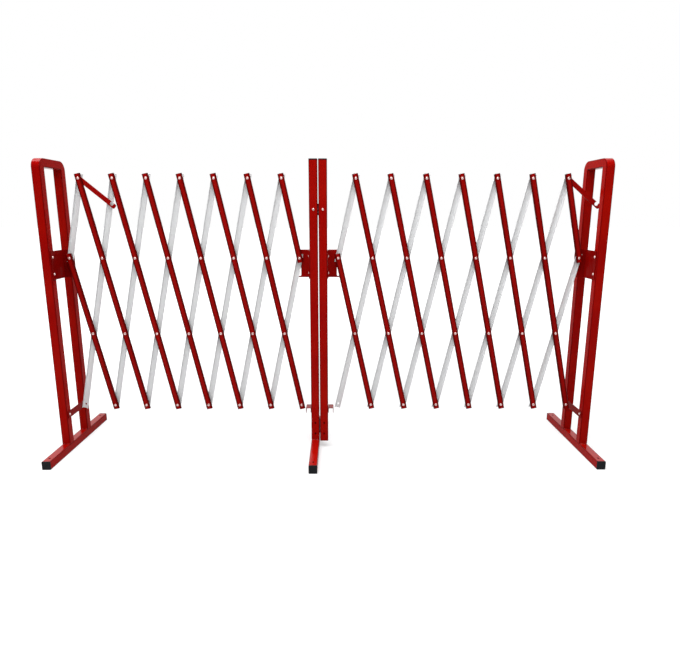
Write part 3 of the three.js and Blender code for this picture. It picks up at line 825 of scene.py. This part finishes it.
def makeBracket(name, pivot, tubeSide, boltY, finish):
    # the plan of the angle, as (distance from its seat, y), drawn out upwards
    low, high = boxOf(name)
    outward = 1 if pivot.x > tubeSide else -1
    seat = tubeSide + outward * fit
    thick, bend = bracket["thickness"], bracket["bend"]
    reach = abs(pivot.x - seat) + bracket["edge"]
    back = high.y
    flange = back - thick
    inner = bend - thick
    plan = [(0, low.y), (thick, low.y)]
    plan += arc((thick + inner, flange - inner), inner, 180, 90, bracket["innerBendSteps"])
    plan += [(reach, flange), (reach, back)]
    plan += arc((bend, back - bend), bend, 90, 180, bracket["outerBendSteps"])
    top = pivot.z + bracket["abovePivot"]
    mesh = bmesh.new()
    loft(mesh, [[(seat + outward * u, y, z) for u, y in plan] for z in (top - bracket["height"], top)])
    hole = (pivot.x, pivot.z + bracket["holeAbovePivot"])
    outlines = [
        circle((pivot.x, pivot.z), rivet["holeRadius"]),
        circle(hole, bracket["holeRadius"], bracket["holeSteps"]),
        slotOutline(pivot.x, pivot.z - bracket["slotBelowPivot"]),
    ]
    cuts = [("y", outline, flange - cutMargin, back + cutMargin) for outline in outlines]
    finishPiece(name + "_look", mesh, finish, inFrame, node=name,
                softEdge=bracket["softEdge"], cuts=cuts)
    upper = pivot.z + bracket["boltAbovePivot"]
    heads = [Vector((seat + outward * thick, boltY, z)) for z in (upper, upper - bracket["boltSpacing"])]
    makeBolts(name, heads, Vector((outward, 0, 0)))


for side in ("left", "right"):
    frameLow, frameHigh = boxOf(side + "_stand_frame")
    postLow, postHigh = boxOf(side + "_post")
    standPivot = jointPlace(side + "_end_stand_pivot") / mm
    rootPivot = jointPlace(side + "_lattice_main") / mm
    innerSide, outerSide = (frameHigh.x, postLow.x) if side == "left" else (frameLow.x, postHigh.x)
    legMiddle = frameLow.y + tube["width"] / 2
    postMiddle = (postLow.y + postHigh.y) / 2
    makeBracket(side + "_end_bracket", standPivot, innerSide, legMiddle, shadedRedBracket)
    makeBracket(side + "_post_bracket", rootPivot, outerSide, postMiddle, redPostBracket)
print("brackets made")


# Tie straps between the legs, stop tabs on the posts and the plates behind them.

strap = {"thickness": 3, "softEdge": 0.6}
tab = {"thickness": 2, "bend": 2.4, "bendSteps": 5, "softEdge": 0.3}
plate = {"thickness": 3, "cornerRadius": 4, "cornerSteps": 5, "softEdge": 0.5}


def makeStrap(side):
    name = side + "_tie_strap"
    low, high = boxOf(name)
    frameLow, frameHigh = boxOf(side + "_stand_frame")
    inward = 1 if side == "left" else -1
    seat = (frameHigh.x if side == "left" else frameLow.x) + inward * fit
    skin = seat + inward * strap["thickness"]
    near, far = sorted((seat, skin))
    corners = ((near, low.z), (far, low.z), (far, high.z), (near, high.z))
    mesh = bmesh.new()
    loft(mesh, [[(x, y, z) for x, z in corners] for y in (low.y, high.y)])
    finishPiece(name + "_look", mesh, shadedRedBracket, inFrame, node=name,
                softEdge=strap["softEdge"])
    half = tube["width"] / 2
    heads = [Vector((skin, y, (low.z + high.z) / 2)) for y in (frameLow.y + half, frameHigh.y - half)]
    makeBolts(name, heads, Vector((inward, 0, 0)))


def makeTab(side):
    # the outline as (distance from the post's side, z), drawn out backwards
    name = side + "_stop_tab"
    low, high = boxOf(name)
    outward, root = (1, low.x) if side == "right" else (-1, high.x)
    reach = high.x - low.x
    thick, bend = tab["thickness"], tab["bend"]
    under = high.z - thick
    outline = [(0, low.z), (thick, low.z), (thick, under), (reach - thick, under),
               (reach - thick, low.z), (reach, low.z)]
    outline += arc((reach - bend, high.z - bend), bend, 0, 90, tab["bendSteps"])
    outline.append((0, high.z))
    mesh = bmesh.new()
    loft(mesh, [[(root + outward * u, y, z) for u, z in outline] for y in (low.y, high.y)])
    finishPiece(name + "_look", mesh, shadedRedBracket, inFrame, node=name,
                softEdge=tab["softEdge"])


def makePlate(name, boltHeights, headsInFront):
    low, high = boxOf(name)
    posts = [boxOf(side + "_post") for side in ("left", "right")]
    front = posts[0][1].y + fit
    back = front + plate["thickness"]
    radius = plate["cornerRadius"]
    corners = ((high.x - radius, low.z + radius, -90), (high.x - radius, high.z - radius, 0),
               (low.x + radius, high.z - radius, 90), (low.x + radius, low.z + radius, 180))
    outline = []
    for x, z, start in corners:
        outline += arc((x, z), radius, start, start + 90, plate["cornerSteps"])
    mesh = bmesh.new()
    loft(mesh, [[(x, y, z) for x, z in outline] for y in (front, back)])
    finishPiece(name + "_look", mesh, plateZinc, inFrame, node=name,
                softEdge=plate["softEdge"])
    bolts = bmesh.new()
    for z in boltHeights:
        for postLow, postHigh in posts:
            x = (postLow.x + postHigh.x) / 2
            if headsInFront:
                addBolt(bolts, Vector((x, postLow.y - fit, z)), Vector((0, -1, 0)))
            addBolt(bolts, Vector((x, back, z)), Vector((0, 1, 0)))
    finishPiece(name + "_bolts", bolts, rivetZinc, inFrame, body=bodyOf(name))


for side in ("left", "right"):
    makeStrap(side)
    makeTab(side)
upperLow, upperHigh = boxOf("upper_joining_plate")
makePlate("upper_joining_plate", [(upperLow.z + upperHigh.z) / 2], True)
makePlate("lower_joining_plate", post["holeHeights"], False)
print("straps, tabs and plates made")


# Studio: the camera, a pale floor, a white background and two softboxes.

camera = {
    "place": (0.0526, -1.9646, 0.8706), "tilt": 12.20, "turn": -0.095,    # downwards and sideways
    "focalPixels": 545.88, "pictureWidth": 680, "sensorWidth": 36,
}
floorLook = {
    "size": 60.0, "below": 0.0002, "colour": (0.5, 0.5, 0.505), "roughness": 0.9,
    # extra brightness for what the camera sees, near the object and further out
    "nearLift": 0.5, "farLift": 1.1, "liftBand": (0.8, 2.4),
}
skyLook = {
    "soft": 0.3,                  # light on the object
    "front": 0.10, "back": 1.0,   # what it mirrors before and behind it
    "mirrorBand": (-0.55, 0.25),
    "seen": 1.0,
}
lamps = {
    "topSoftbox": {"place": (-0.4, -0.5, 3.2), "aim": (0, 0, 0), "size": (4.0, 2.0), "power": 150},
    "frontSoftbox": {"place": (-1.6, -3.2, 2.6), "aim": (0, 0, 0.5), "size": (1.6, 1.2), "power": 25},
}


def makeCamera():
    lens = bpy.data.cameras.new("studioCamera")
    lens.sensor_width = camera["sensorWidth"]
    lens.lens = camera["focalPixels"] / camera["pictureWidth"] * camera["sensorWidth"]
    cameraObject = bpy.data.objects.new("studioCamera", lens)
    cameraObject.location = camera["place"]
    turns = (math.radians(90 - camera["tilt"]), 0, math.radians(camera["turn"]))
    cameraObject.rotation_euler = turns
    bpy.context.scene.collection.objects.link(cameraObject)
    bpy.context.scene.camera = cameraObject
    bpy.context.scene.view_settings.view_transform = "Standard"


def seenRay(tree, names):
    # 1 for any ray of these kinds
    path = tree.nodes.new("ShaderNodeLightPath")
    total = path.outputs["Is Camera Ray"]
    for name in names:
        total = combine(tree, "MAXIMUM", total, path.outputs[name])
    return total


def makeFloor():
    place = (0, 0, cadBox[0].z - floorLook["below"])
    bpy.ops.mesh.primitive_plane_add(size=floorLook["size"], location=place)
    floor = bpy.context.object
    floor.name = "studioFloor"
    finish, tree, shader = newFinish("studioFloor")
    shader.inputs["Base Color"].default_value = (*floorLook["colour"], 1)
    shader.inputs["Roughness"].default_value = floorLook["roughness"]
    shader.inputs["Specular IOR Level"].default_value = 0.0
    shader.inputs["Emission Color"].default_value = (1, 1, 1, 1)
    reach = addNode(tree, "ShaderNodeVectorMath", operation="LENGTH")
    tree.links.new(tree.nodes.new("ShaderNodeTexCoord").outputs["Object"], reach.inputs[0])
    lift = spread(tree, reach.outputs["Value"], floorLook["liftBand"],
                  floorLook["nearLift"], floorLook["farLift"])
    seen = seenRay(tree, ("Is Glossy Ray", "Is Transmission Ray"))
    tree.links.new(combine(tree, "MULTIPLY", seen, lift), shader.inputs["Emission Strength"])
    floor.data.materials.append(finish)


def makeSky():
    world = bpy.data.worlds.new("studioSky")
    bpy.context.scene.world = world
    world.use_nodes = True
    tree = world.node_tree
    background = tree.nodes["Background"]
    background.inputs["Color"].default_value = (1, 1, 1, 1)
    place = tree.nodes.new("ShaderNodeTexCoord")
    split = tree.nodes.new("ShaderNodeSeparateXYZ")
    tree.links.new(place.outputs["Generated"], split.inputs[0])
    mirrored = spread(tree, split.outputs["Y"], skyLook["mirrorBand"], skyLook["front"], skyLook["back"])
    glossy = tree.nodes.new("ShaderNodeLightPath").outputs["Is Glossy Ray"]
    lit = tree.nodes.new("ShaderNodeMix")
    tree.links.new(glossy, lit.inputs[0])
    lit.inputs[2].default_value = skyLook["soft"]
    tree.links.new(mirrored, lit.inputs[3])
    strength = tree.nodes.new("ShaderNodeMix")
    tree.links.new(seenRay(tree, ("Is Transmission Ray",)), strength.inputs[0])
    tree.links.new(lit.outputs[0], strength.inputs[2])
    strength.inputs[3].default_value = skyLook["seen"]
    tree.links.new(strength.outputs[0], background.inputs["Strength"])


def makeLamp(name, look):
    data = bpy.data.lights.new(name, "AREA")
    data.shape = "RECTANGLE"
    data.size, data.size_y = look["size"]
    data.energy = look["power"]
    lamp = bpy.data.objects.new(name, data)
    lamp.location = look["place"]
    aim = Vector(look["aim"]) - Vector(look["place"])
    lamp.rotation_euler = aim.to_track_quat("-Z", "Y").to_euler()
    bpy.context.scene.collection.objects.link(lamp)


makeCamera()
makeFloor()
makeSky()
for name, look in lamps.items():
    makeLamp(name, look)
print("studio made")
